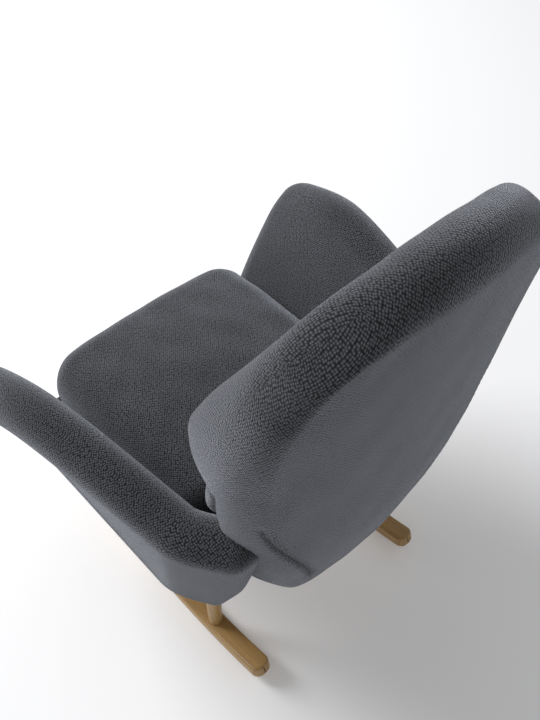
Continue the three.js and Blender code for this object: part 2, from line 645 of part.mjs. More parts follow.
const sideRail = block([sideRailInner, FRAME_HALF_WIDTH], [frontRailBack + GAP, BACK_Y], railHeights);
const sideRailHoles = [
  ...Object.values(armBoltYs).map((y) => placeArmBolt(boltHole(armBoltLength), y)),
  ...Object.values(LEGS).map((y) => boltHole(RAIL_HEIGHT / 2).translate(RAIL_MIDDLE_X, y, FRAME_BOTTOM)),
];
addPair('seat_rail', cut(sideRail, behindRearRail, ...sideRailHoles), beech);

for (const [end, y] of Object.entries(armBoltYs)) {
  addPair(`arm_bolt_${end}`, placeArmBolt(bolt(armBoltLength), y), steel);
}

// A triangular block glued into each corner.
function cornerBlock(corner, towards) {
  const outline = new THREE.Shape();
  outline.moveTo(sideRailInner - GAP, corner);
  outline.lineTo(sideRailInner - GAP, corner + towards * BLOCK_LEG);
  outline.lineTo(sideRailInner - GAP - BLOCK_LEG, corner);
  outline.closePath();
  const depth = RAIL_HEIGHT - 2 * BLOCK_INSET;
  return new THREE.ExtrudeGeometry(outline, { depth, bevelEnabled: false }).translate(0, 0, FRAME_BOTTOM + BLOCK_INSET);
}
const railSlope = RAIL_HEIGHT * sin(BACK_RECLINE);
const rearCorner = new THREE.Vector3(0, -rearRailFront, rearRailTop).applyMatrix4(back.matrix).y;
addPair('corner_block_front', cut(cornerBlock(frontRailBack + GAP, 1)), beech);
addPair('corner_block_rear', cut(cornerBlock(rearCorner + railSlope, -1), behindRearRail), beech);

const strapFront = FRAME_FRONT + RAIL_THICKNESS - STRAP_LANDING;
const strapRear = rearCorner + STRAP_LANDING / 2;
const strapBottom = FRAME_TOP + GAP;
for (let i = 0; i < SEAT_STRAPS; i += 1) {
  const x = (i - (SEAT_STRAPS - 1) / 2) * SEAT_STRAP_SPACING;
  const strap = block(
    [x - STRAP_WIDTH / 2, x + STRAP_WIDTH / 2],
    [strapFront, strapRear],
    [strapBottom, strapBottom + STRAP_THICKNESS],
  );
  add(`seat_strap_${i + 1}`, strap, webbing);
}

const coverTop = FRAME_BOTTOM - GAP;
add(
  'dust_cover',
  block(
    wholeWidth,
    [FRONT_LEG_Y + BEAM_DEPTH / 2 + GAP, REAR_LEG_Y - BEAM_DEPTH / 2 - GAP],
    [coverTop - DUST_COVER_THICKNESS, coverTop],
  ),
  lining,
);

// ---------------------------------------------------------------- arms

const armFrontY = (v) => lerp(ARM_FRONT_LOW_Y, ARM_FRONT_HIGH_Y, v);
const armRearY = (v) => lerp(ARM_REAR_LOW_Y, ARM_REAR_HIGH_Y, v);

// The arm's middle surface: u runs from front to rear, and v from the bottom edge to the top edge.
function armPoint(u, v, outwards = 0) {
  const flare = max(0, (v - ARM_FLARE_START) / (1 - ARM_FLARE_START)) ** ARM_FLARE_POWER;
  const wrap = smoothstep(u, ARM_WRAP_START, 1) * (ARM_X - ARM_REAR_X);
  const x = ARM_X + lerp(ARM_FLARE_FRONT, ARM_FLARE_REAR, u) * flare - wrap + outwards;
  const cornerV = max(0, 1 - (1 - v) / ARM_CORNER);
  const cornerU = max(0, 1 - u / ARM_CORNER);
  const setback = ARM_CORNER_SETBACK * cornerV ** 2 * max(0, 1 - 2 * u);
  const drop = ARM_CORNER_DROP * cornerU ** 2 * v ** 2;
  const top = lerp(ARM_FRONT_TOP, ARM_REAR_TOP, smoothstep(u, ARM_TOP_FALLS_FROM, 1));
  return new THREE.Vector3(x, lerp(armFrontY(v), armRearY(v), u) + setback, lerp(ARM_BOTTOM, top, v) - drop);
}

// The plywood panel inside an arm. Grown, it is the slot that takes the panel from below.
function armPanelGeometry(grow = 0) {
  const share = grow / (ARM_FRONT_TOP - ARM_BOTTOM);
  const half = PANEL_THICKNESS / 2 + grow;
  const steps = 5;
  const rows = Array.from({ length: steps + 1 }, (_, i) => lerp(ARM_FLARE_START, PANEL_TOP + share, i / steps));
  rows.unshift(grow ? -PANEL_FRONT : (FRAME_BOTTOM + GAP - ARM_BOTTOM) / (ARM_FRONT_TOP - ARM_BOTTOM));
  return slab(
    (u, row, side) => armPoint(lerp(PANEL_FRONT - share, PANEL_REAR + share, u), rows[row], side ? half : -half),
    [4, rows.length - 1],
  );
}

const armPanelHoles = Object.values(armBoltYs).map((y) => placeArmBolt(boltHole(armBoltLength), y));
addPair('arm_panel', cut(armPanelGeometry(), ...armPanelHoles), beech);

const armPad = pad({
  patch: armPoint,
  length: ARM_FRONT_TOP - ARM_BOTTOM,
  width: ARM_REAR_HIGH_Y - ARM_FRONT_HIGH_Y,
  edge: ARM_THICKNESS / 2,
  above: () => ARM_THICKNESS / 2,
  below: () => ARM_THICKNESS / 2,
  cells: [6, 5],
});
const rearRailSpace = backBlock(wholeWidth, [rearRailBack, rearRailFront], [rearRailBottom, rearRailTop], GAP);
const railSpace = block([0, ARM_X - PANEL_THICKNESS / 2 + GAP], [2 * FRAME_FRONT, rearCorner], [0, FRAME_TOP + GAP]);
addPair(
  'arm_pad',
  largest(
    cut(
      armPad,
      armPanelGeometry(GAP),
      railSpace,
      inChair(rearRailSpace),
      inChair(shellGeometry(SOFT_GAP)),
      inChair(backCushionGeometry(SOFT_GAP)),
    ),
  ),
  fabric,
);

// ---------------------------------------------------------------- seat

// The seat ends against the reclined front of the back cushion.
const seatWidestZ = SEAT_BOTTOM + SEAT_UNDER;
const seatRear =
  BACK_Y + (seatWidestZ - BACK_Z) * tan(BACK_RECLINE) - BACK_CUSHION_FRONT / cos(BACK_RECLINE) - 2 * SOFT_GAP;
const seatInArm = (seatWidestZ - ARM_BOTTOM) / (ARM_FRONT_TOP - ARM_BOTTOM);
const seatLength = seatRear - SEAT_FRONT;

// Half the seat's width, a share of the way from its front to its rear: it fills the space between the arms.
function seatHalfWidth(v) {
  const y = lerp(SEAT_FRONT, seatRear, v);
  const u = max(0, (y - armFrontY(seatInArm)) / (armRearY(seatInArm) - armFrontY(seatInArm)));
  const inner = armPoint(u, seatInArm).x - ARM_THICKNESS / 2 - SEAT_SIDE_GAP;
  const corner = max(0, 1 - v / SEAT_CORNER_LENGTH);
  return inner * (1 - SEAT_CORNER_PULL * corner ** 2);
}

const seatPad = pad({
  length: seatLength,
  width: 2 * seatHalfWidth(1),
  edge: SEAT_EDGE,
  underEdge: SEAT_UNDER_EDGE,
  corner: SEAT_CORNER,
  cells: [6, 6],
  patch: (u, v) => {
    const across = 2 * u - 1;
    const bow = SEAT_BOW * abs(across) ** 3 * max(0, 1 - 2 * v);
    const x = across * seatHalfWidth(v);
    const hollow = (x * x) / (2 * BACK_CYLINDER * cos(BACK_RECLINE));
    return new THREE.Vector3(x, lerp(SEAT_FRONT + bow, seatRear - hollow, v), seatWidestZ);
  },
  above: (u, v) => SEAT_OVER + SEAT_CROWN * (1 - (2 * u - 1) ** 2) * (1 - (2 * v - 1) ** 2),
  below: () => SEAT_UNDER,
});
const seatFoam = (grow = 0) =>
  block(
    [SEAT_FOAM_MARGIN - seatHalfWidth(1), seatHalfWidth(1) - SEAT_FOAM_MARGIN],
    [SEAT_FRONT + SEAT_FOAM_MARGIN, seatRear - SEAT_FOAM_MARGIN],
    [grow ? 0 : SEAT_BOTTOM, SEAT_BOTTOM + SEAT_FOAM_THICKNESS],
    grow,
  );
add('seat_cushion', cut(seatPad, seatFoam(GAP)), fabric);
add('seat_foam', seatFoam(), foam);

// The padded board that covers the front rail.
const apronHeight = RAIL_HEIGHT + APRON_DROP;
const apron = roundedBar(2 * FRAME_HALF_WIDTH - 2 * GAP, apronHeight, APRON_THICKNESS, APRON_RADIUS)
  .rotateX(PI / 2)
  .translate(0, FRAME_FRONT - GAP, FRAME_TOP - apronHeight / 2);
add('apron', apron, fabric);

// The origin is on the floor, under the middle of the whole chair.
const bounds = new THREE.Box3().setFromObject(chair, true);
chair.position.set(0, -(bounds.min.y + bounds.max.y) / 2, -bounds.min.z);

export default chair;
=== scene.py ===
import math

import bpy
import numpy as np
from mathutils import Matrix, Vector
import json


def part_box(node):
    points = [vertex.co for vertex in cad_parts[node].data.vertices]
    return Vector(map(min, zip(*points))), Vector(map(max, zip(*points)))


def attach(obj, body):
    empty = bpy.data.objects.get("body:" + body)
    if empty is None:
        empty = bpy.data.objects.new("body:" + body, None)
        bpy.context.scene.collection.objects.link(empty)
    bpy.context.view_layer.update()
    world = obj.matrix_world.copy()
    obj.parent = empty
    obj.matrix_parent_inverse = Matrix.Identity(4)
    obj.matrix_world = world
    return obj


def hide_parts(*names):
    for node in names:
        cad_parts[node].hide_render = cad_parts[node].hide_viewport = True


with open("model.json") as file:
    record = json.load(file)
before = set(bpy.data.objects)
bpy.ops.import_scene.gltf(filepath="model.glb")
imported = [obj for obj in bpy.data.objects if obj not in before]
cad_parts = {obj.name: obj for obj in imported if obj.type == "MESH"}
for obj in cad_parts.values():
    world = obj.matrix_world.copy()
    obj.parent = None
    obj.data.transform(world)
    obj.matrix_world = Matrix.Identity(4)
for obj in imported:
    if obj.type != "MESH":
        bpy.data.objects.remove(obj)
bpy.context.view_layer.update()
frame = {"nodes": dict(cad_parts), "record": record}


# ---------------------------------------------------------------- runners
# Two oak bars bent to an arc, one under each side of the chair. They roll on the floor, and every long
# edge is rounded over. Two legs stand on each.

RUNNER_RADIUS = 0.780
RUNNER_THICKNESS = 0.026
RUNNER_EDGE = 0.005
RUNNER_END_RADIUS = 0.016
RUNNER_END_EDGE = 0.004
RUNNER_STATIONS = 90

balance_y = frame["record"]["mounts"][0]["pos_m"][1]


def feed(material, socket, value):
    """Links a shader input to another node's output, or sets it to a value."""
    if isinstance(value, bpy.types.NodeSocket):
        material.node_tree.links.new(value, socket)
    else:
        socket.default_value = value


def add_node(material, kind, settings=None, **inputs):
    """A shader node. An input is a value or another node's output, and _ stands for a space in its name."""
    made = material.node_tree.nodes.new(kind)
    for key, value in (settings or {}).items():
        setattr(made, key, value)
    for key, value in inputs.items():
        feed(material, made.inputs[key.replace("_", " ")], value)
    return made


def blank_material(name):
    """A material with its shader, and the shader's node."""
    material = bpy.data.materials.new(name)
    material.use_nodes = True
    return material, material.node_tree.nodes["Principled BSDF"]


def plug(material, shader, **inputs):
    """Links or sets the shader's inputs."""
    for key, value in inputs.items():
        feed(material, shader.inputs[key.replace("_", " ")], value)


def ramp(material, factor, *stops):
    """A colour ramp through (place, colour) stops."""
    made = add_node(material, "ShaderNodeValToRGB", Fac=factor)
    line = made.color_ramp
    while len(line.elements) < len(stops):
        line.elements.new(0.5)
    for element, (place, colour) in zip(line.elements, stops):
        element.position = place
        element.color = (*colour, 1)
    return made.outputs["Color"]


def maths(material, operation, *values):
    """One sum on two or three values."""
    made = material.node_tree.nodes.new("ShaderNodeMath")
    made.operation = operation
    for socket, value in zip(made.inputs, values):
        feed(material, socket, value)
    return made.outputs[0]


def tinted(material, factor, a, b, blend="MIX"):
    """Two colours mixed."""
    made = add_node(material, "ShaderNodeMixRGB", {"blend_type": blend}, Fac=factor, Color1=a, Color2=b)
    return made.outputs["Color"]


def surface_place(material, grain):
    """Coordinates in metres whose X runs along the grain: the mesh's own, or the chair's X, Y or Z."""
    if grain == "uv":
        return add_node(material, "ShaderNodeUVMap").outputs["UV"]
    place = add_node(material, "ShaderNodeTexCoord").outputs["Object"]
    turn = {"x": (0, 0, 0), "y": (0, 0, math.pi / 2), "z": (0, math.pi / 2, 0)}[grain]
    return add_node(material, "ShaderNodeMapping", Vector=place, Rotation=turn).outputs["Vector"]


def timber(name, grain, light, middle, dark, roughness):
    """Straight-grained wood: broad bands, fine fibres and short open pores along the grain."""
    material, shader = blank_material(name)
    place = surface_place(material, grain)
    bands_at = add_node(material, "ShaderNodeMapping", Vector=place, Scale=(1.6, 46, 46)).outputs["Vector"]
    bands = add_node(material, "ShaderNodeTexNoise", Vector=bands_at, Scale=1.0, Detail=3, Distortion=0.7)
    fibres_at = add_node(material, "ShaderNodeMapping", Vector=place, Scale=(14, 620, 620)).outputs["Vector"]
    fibres = add_node(material, "ShaderNodeTexNoise", Vector=fibres_at, Scale=1.0, Detail=4)
    pores_at = add_node(material, "ShaderNodeMapping", Vector=place, Scale=(70, 1300, 1300)).outputs["Vector"]
    pores = add_node(material, "ShaderNodeTexNoise", Vector=pores_at, Scale=1.0, Detail=1)
    base = ramp(material, bands.outputs["Fac"], (0.32, dark), (0.5, middle), (0.68, light))
    streak = ramp(material, fibres.outputs["Fac"], (0.3, (0.72,) * 3), (0.6, (1.0,) * 3))
    pore = ramp(material, pores.outputs["Fac"], (0.3, (0.55,) * 3), (0.4, (1.0,) * 3))
    streaked = tinted(material, 0.75, base, streak, "MULTIPLY")
    plug(material, shader, Base_Color=tinted(material, 0.6, streaked, pore, "MULTIPLY"))
    rough = maths(material, "MULTIPLY_ADD", fibres.outputs["Fac"], 0.16, roughness - 0.08)
    bump = add_node(material, "ShaderNodeBump", Strength=0.35, Distance=0.0004, Height=pores.outputs["Fac"])
    plug(material, shader, Roughness=rough, Normal=bump.outputs["Normal"])
    return material


OAK = {"light": (0.52, 0.33, 0.13), "middle": (0.41, 0.25, 0.092), "dark": (0.31, 0.18, 0.062)}
oak_along_uv = timber("oak", "uv", **OAK, roughness=0.42)


def ring_mesh(name, rings, material, uvs):
    """A mesh skinned over rings of points, with (along, round) coordinates in metres in uvs."""
    rings, uvs = np.asarray(rings, float), np.asarray(uvs, float)
    count, sides = rings.shape[:2]
    faces, corners = [], []
    for i in range(count - 1):
        for k in range(sides):
            after = (k + 1) % sides
            faces.append((i * sides + k, i * sides + after, (i + 1) * sides + after, (i + 1) * sides + k))
            corners += [uvs[i, k], uvs[i, k + 1], uvs[i + 1, k + 1], uvs[i + 1, k]]
    for i, order in ((0, -1), (count - 1, 1)):
        faces.append([i * sides + k for k in range(sides)][::order])
        corners += list(uvs[i, :sides][::order])
    mesh = bpy.data.meshes.new(name)
    mesh.from_pydata(rings.reshape(-1, 3).tolist(), [], [list(f) for f in faces])
    layer = mesh.uv_layers.new(name="weave")
    layer.data.foreach_set("uv", np.asarray(corners, np.float32).ravel())
    return finished_piece(name, mesh, material)


def finished_piece(name, mesh, material, crease=40):
    """A mesh as a shown object, facing out, smooth except over creases sharper than an angle."""
    piece = bpy.data.objects.new(name, mesh)
    bpy.context.scene.collection.objects.link(piece)
    co = np.array([v.co for v in mesh.vertices])
    loops = [mesh.polygons[i].vertices[:] for i in range(len(mesh.polygons))]
    fans = ((co[f[0]], co[f[k]], co[f[k + 1]]) for f in loops for k in range(1, len(f) - 1))
    volume = sum(np.dot(a, np.cross(b, c)) for a, b, c in fans)
    if volume < 0:
        mesh.flip_normals()
    mesh.materials.append(material)
    mesh.polygons.foreach_set("use_smooth", [True] * len(mesh.polygons))
    mesh.set_sharp_from_angle(angle=math.radians(crease))
    mesh.update()
    return piece


def rounded_outline(width, height, radius, steps=5):
    """The corners of a rounded rectangle, as a closed ring of (x, y) points."""
    ring = []
    for quarter, (sx, sy) in enumerate(((1, 1), (-1, 1), (-1, -1), (1, -1))):
        for k in range(steps + 1):
            a = (quarter + k / steps) * math.pi / 2
            ring.append((sx * (width / 2 - radius) + radius * math.cos(a),
                         sy * (height / 2 - radius) + radius * math.sin(a)))
    return np.array(ring)


def round_loss(inwards, radius):
    """How much a rounded end takes off each side, at a distance in from that end."""
    return radius - math.sqrt(max(0, radius**2 - max(0, radius - inwards) ** 2))


def runner(side_name):
    low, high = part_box(f"runner_{side_name}")
    middle_x = (low.x + high.x) / 2
    width = high.x - low.x
    front = math.asin((low.y - balance_y) / RUNNER_RADIUS)
    rear = math.asin((high.y - balance_y) / RUNNER_RADIUS)
    length = RUNNER_RADIUS * (rear - front)
    ease = (1 - np.cos(np.linspace(0, math.pi / 2, 8))) * RUNNER_END_RADIUS
    middle = np.linspace(RUNNER_END_RADIUS, length - RUNNER_END_RADIUS, RUNNER_STATIONS)
    stations = np.concatenate([ease[:-1], middle, length - ease[-2::-1]])
    rings, uvs = [], []
    for along in stations:
        inwards = min(along, length - along)
        narrowed = width - 2 * round_loss(inwards, RUNNER_END_RADIUS)
        thinned = RUNNER_THICKNESS - 2 * round_loss(inwards, RUNNER_END_EDGE)
        outline = rounded_outline(narrowed, thinned, RUNNER_EDGE)
        angle = front + along / RUNNER_RADIUS
        radius = RUNNER_RADIUS - RUNNER_THICKNESS / 2 - outline[:, 1]
        rings.append(np.column_stack([middle_x + outline[:, 0],
                                      balance_y + radius * np.sin(angle),
                                      RUNNER_RADIUS - radius * np.cos(angle)]))
        around = np.r_[0, np.cumsum(np.linalg.norm(np.diff(outline, axis=0, append=outline[:1]), axis=1))]
        uvs.append(np.column_stack([np.full(len(around), along), around]))
    piece = ring_mesh(f"bent_runner_{side_name}", rings, oak_along_uv, uvs)
    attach(piece, "root")
    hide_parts(f"runner_{side_name}")


for side_name in ("left", "right"):
    runner(side_name)


# ---------------------------------------------------------------- legs and stretchers
# Turned oak. A leg tapers to its foot, which is hollowed to sit on the runner, and a round stretcher
# joins the left and right leg at the front and at the rear.

LEG_TOP_RADIUS = 0.017
LEG_FOOT_RADIUS = 0.013
STRETCHER_SWELL = 0.0015
TURNED_SIDES = 40
GAP = 0.0003


def turned_bar(name, node, start, end, radii):
    """A round bar between two points, with its radius at even steps along it."""
    start, end = np.array(start, float), np.array(end, float)
    axis = (end - start) / np.linalg.norm(end - start)
    across = np.cross(axis, (0, 1, 0) if abs(axis[1]) < 0.9 else (1, 0, 0))
    across /= np.linalg.norm(across)
    other = np.cross(axis, across)
    turn = np.linspace(0, 2 * math.pi, TURNED_SIDES + 1)
    rings, uvs = [], []
    for share, radius in zip(np.linspace(0, 1, len(radii)), radii):
        centre = start + (end - start) * share
        rings.append([centre + radius * (math.cos(a) * across + math.sin(a) * other) for a in turn[:-1]])
        uvs.append([(share * np.linalg.norm(end - start), radius * a) for a in turn])
    piece = ring_mesh(name, rings, oak_along_uv, uvs)
    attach(piece, "root")
    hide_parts(node)
    return piece


def runner_top(y):
    """How high a runner's upper face is."""
    return RUNNER_RADIUS - math.sqrt((RUNNER_RADIUS - RUNNER_THICKNESS) ** 2 - (y - balance_y) ** 2)


x_of_legs = sum(corner.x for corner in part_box("runner_left")) / 2
for end_name in ("front", "rear"):
    beam_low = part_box(f"beam_{end_name}")[0]
    for side_name in ("left", "right"):
        low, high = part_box(f"leg_{end_name}_{side_name}")
        x, y = (low.x + high.x) / 2, (low.y + high.y) / 2
        foot = runner_top(y)
        steps = np.linspace(0, 1, 12)
        swell = LEG_FOOT_RADIUS + (LEG_TOP_RADIUS - LEG_FOOT_RADIUS) * np.sin(steps * math.pi / 2)
        leg = turned_bar(f"turned_leg_{end_name}_{side_name}", f"leg_{end_name}_{side_name}",
                         (x, y, foot), (x, y, beam_low.z - GAP), swell)
        for vertex in leg.data.vertices[:TURNED_SIDES]:
            vertex.co.z = runner_top(vertex.co.y) + GAP
    low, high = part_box(f"stretcher_{end_name}")
    y, z = (low.y + high.y) / 2, (low.z + high.z) / 2
    inner = x_of_legs - LEG_FOOT_RADIUS
    radius = (high.z - low.z) / 2
    bar = radius + STRETCHER_SWELL * (np.sin(np.linspace(0, math.pi, 15)) - 1)
    turned_bar(f"turned_stretcher_{end_name}", f"stretcher_{end_name}", (-inner, y, z), (inner, y, z), bar)


# ---------------------------------------------------------------- beams
# Two oak beams under the seat frame. The legs' upper tenons are glued into them, and their edges are
# eased by hand so that no arris is left sharp.

BEAM_EASE = 0.0015

oak_along_x = timber("oak_across", "x", **OAK, roughness=0.42)


def dress(node, material, ease=0.0):
    """A finish for a piece that keeps its form, with its edges eased."""
    piece = frame["nodes"][node]
    for holder in piece.material_slots:
        holder.material = material
    if ease:
        softened = piece.modifiers.new("eased_edges", "BEVEL")
        softened.width = ease
        softened.segments = 2
        softened.limit_method = "ANGLE"
        softened.angle_limit = math.radians(35)


for end_name in ("front", "rear"):
    dress(f"beam_{end_name}", oak_along_x, BEAM_EASE)


# ---------------------------------------------------------------- seat frame
# Sawn beech rails and triangular corner blocks, glued and left unfinished, with the four rails of the
# seat bolted down on the beams. The blocks' grain runs with the front rail.

BEECH = {"light": (0.66, 0.47, 0.27), "middle": (0.58, 0.40, 0.22), "dark": (0.50, 0.33, 0.17)}
SAWN_EASE = 0.001

beech_along_x = timber("beech_across", "x", **BEECH, roughness=0.68)
beech_along_y = timber("beech_deep", "y", **BEECH, roughness=0.68)
beech_along_z = timber("beech_upright", "z", **BEECH, roughness=0.68)

for end_name in ("front", "rear"):
    dress(f"seat_rail_{end_name}", beech_along_x, SAWN_EASE)
    for side_name in ("left", "right"):
        dress(f"corner_block_{end_name}_{side_name}", beech_along_x, SAWN_EASE)
for side_name in ("left", "right"):
    dress(f"seat_rail_{side_name}", beech_along_y, SAWN_EASE)


# ---------------------------------------------------------------- back frame
# Two beech posts bolted to the rear rail and joined by three short rails. They stand inside the padded
# shell and carry the back.

for side_name in ("left", "right"):
    dress(f"back_post_{side_name}", beech_along_z, SAWN_EASE)
for rail_name in ("lower", "middle", "top"):
    dress(f"back_rail_{rail_name}", beech_along_x, SAWN_EASE)


# ---------------------------------------------------------------- arm panels
# A bent plywood panel inside each arm, bolted through the side rail. The padding is glued to it.

for side_name in ("left", "right"):
    dress(f"arm_panel_{side_name}", beech_along_y)


# ---------------------------------------------------------------- bolts
# Zinc-plated hex-head bolts that hold the frame to the beams, the arms to the side rails and the back
# posts to the rear rail.

BOLT_EASE = 0.0004

zinc, shader = blank_material("zinc_plate")
spangle = add_node(zinc, "ShaderNodeTexVoronoi", Scale=900.0)
clouding = ramp(zinc, spangle.outputs["Color"], (0.2, (0.50, 0.51, 0.53)), (0.8, (0.66, 0.67, 0.69)))
plug(zinc, shader, Base_Color=clouding, Metallic=1.0, Roughness=0.36)

for side_name in ("left", "right"):
    dress(f"back_bolt_{side_name}", zinc, BOLT_EASE)
    for end_name in ("front", "rear"):
        dress(f"seat_bolt_{end_name}_{side_name}", zinc, BOLT_EASE)
        dress(f"arm_bolt_{end_name}_{side_name}", zinc, BOLT_EASE)


# ---------------------------------------------------------------- webbing
# Woven elastic straps stapled across the seat frame and the back posts, which spring the cushions.


def webbing_material(name, across):
    """Black webbing with ribs across it and two pale tracer threads."""
    material, shader = blank_material(name)
    place = surface_place(material, across)
    ribs = add_node(material, "ShaderNodeTexWave", {"wave_type": "BANDS", "bands_direction": "Y"},
                    Vector=place, Scale=160.0, Distortion=0.4)
    threads = add_node(material, "ShaderNodeTexWave", {"wave_type": "BANDS", "bands_direction": "X"},
                       Vector=place, Scale=240.0)
    woven = maths(material, "MULTIPLY", ribs.outputs["Fac"], threads.outputs["Fac"])
    colour = ramp(material, woven, (0.0, (0.006, 0.006, 0.007)), (1.0, (0.030, 0.030, 0.032)))
    bump = add_node(material, "ShaderNodeBump", Strength=0.8, Distance=0.0006, Height=woven)
    plug(material, shader, Base_Color=colour, Roughness=0.75, Normal=bump.outputs["Normal"])
    return material


seat_webbing = webbing_material("seat_webbing", "x")
back_webbing = webbing_material("back_webbing", "z")
for i in range(4):
    dress(f"seat_strap_{i + 1}", seat_webbing)
for i in range(3):
    dress(f"back_strap_{i + 1}", back_webbing)


# ---------------------------------------------------------------- foam cores
# Blocks of cut foam inside the seat and back cushions. Their open cells show on every cut face.

foam, shader = blank_material("cut_foam")
foam_cells = add_node(foam, "ShaderNodeTexVoronoi", Scale=700.0)
foam_colour = ramp(foam, foam_cells.outputs["Distance"], (0.1, (0.70, 0.64, 0.42)), (0.7, (0.82, 0.77, 0.56)))
foam_bump = add_node(foam, "ShaderNodeBump", Strength=0.6, Distance=0.0008,
                     Height=foam_cells.outputs["Distance"])
plug(foam, shader, Base_Color=foam_colour, Roughness=0.95, Normal=foam_bump.outputs["Normal"])

dress("seat_foam", foam)
dress("back_foam", foam)


# ---------------------------------------------------------------- lining
# A thin black cloth stapled under the seat frame, between the beams. It keeps dust out and hangs a few
# millimetres low in the middle.

LINING_SAG = 0.006
LINING_RIPPLE = 0.0006
LINING_THICKNESS = 0.0005
LINING_CELLS = (60, 34)

lining, shader = blank_material("lining_cloth")
felted = add_node(lining, "ShaderNodeTexNoise", Scale=1400.0, Detail=3,
                  Vector=add_node(lining, "ShaderNodeTexCoord").outputs["Object"])
felt_colour = ramp(lining, felted.outputs["Fac"], (0.3, (0.006, 0.006, 0.007)), (0.7, (0.022, 0.022, 0.024)))
felt_bump = add_node(lining, "ShaderNodeBump", Strength=0.4, Distance=0.0003, Height=felted.outputs["Fac"])
plug(lining, shader, Base_Color=felt_colour, Roughness=0.92, Normal=felt_bump.outputs["Normal"])

low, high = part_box("dust_cover")
us, vs = np.meshgrid(*(np.linspace(0, 1, cells + 1) for cells in LINING_CELLS), indexing="ij")
ripple = LINING_RIPPLE * np.sin(us * 57) * np.sin(vs * math.pi)
sag = LINING_SAG * np.sin(us * math.pi) * np.sin(vs * math.pi) + ripple
lining_z = high.z - LINING_THICKNESS - sag
points = np.stack([low.x + (high.x - low.x) * us, low.y + (high.y - low.y) * vs, lining_z], -1)
rows = LINING_CELLS[1] + 1
faces = [(i * rows + j, (i + 1) * rows + j, (i + 1) * rows + j + 1, i * rows + j + 1)
         for i in range(LINING_CELLS[0]) for j in range(LINING_CELLS[1])]
mesh = bpy.data.meshes.new("lining_cloth_sheet")
mesh.from_pydata(points.reshape(-1, 3).tolist(), [], faces)
lining_sheet = finished_piece("lining_cloth_sheet", mesh, lining)
thickness = lining_sheet.modifiers.new("thickness", "SOLIDIFY")
thickness.thickness = LINING_THICKNESS
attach(lining_sheet, "root")
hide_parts("dust_cover")


# ---------------------------------------------------------------- back shell
# A high padded back covered in charcoal chenille. The cover is cut in one piece over the head roll, which
# stands forward at the top, and it closes with a puckered seam down each side of the rear.

GRAIN_LONG = 0.0046
GRAIN_HIGH = 0.0030

RECLINE = math.radians(12)
POST_END = 0.660
POST_START = 0.006
BACK_LENGTH = 0.786
BOTTOM_HALF_WIDTH = 0.180
HALF_WIDTH = 0.282
TOP_HALF_WIDTH = 0.269
WIDEST_AT = 0.65
BACK_CYLINDER = 0.770
SWELL = 0.021
SHELL_REAR = (0.075, 0.095, 0.086, 0.067, 0.042)
SHELL_FRONT = -0.009
TUCK = 0.026
TUCK_ENDS = (0.6, 0.85)
ROLL_FRONT = (0.124, 0.088, 0.058, 0.043)
ROLL_SIDE_LOSS = 0.28
ROLL_START = 0.525
ROLL_RADIUS = 0.045
SHOULDER_START = 0.638
SHOULDER_PULL = 0.32
SHOULDER_DROP = 0.064
SHELL_EDGE = 0.048
SHELL_REAR_EDGE = 0.040
SHELL_CORNER = 0.070
SEAM_ENDS = (0.10, 0.52)
SEAM_LOW = 0.62
SEAM_HIGH = 0.90
SEAM_DEPTH = 0.006
SEAM_PUCKER = 0.0010
SEAM_STITCH = 0.011
SEAM_HALF_WIDTH = 0.0035
PUCKER_AWAY = 0.007
FOLD_AT = 0.53
FOLD_HEIGHT = 0.0035
FOLD_REACH = 0.030
FOLD_SPREAD = 0.022

back_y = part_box("back_post_left")[1].y - POST_END * math.sin(RECLINE)
back_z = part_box("back_post_left")[0].z - POST_START * math.cos(RECLINE)


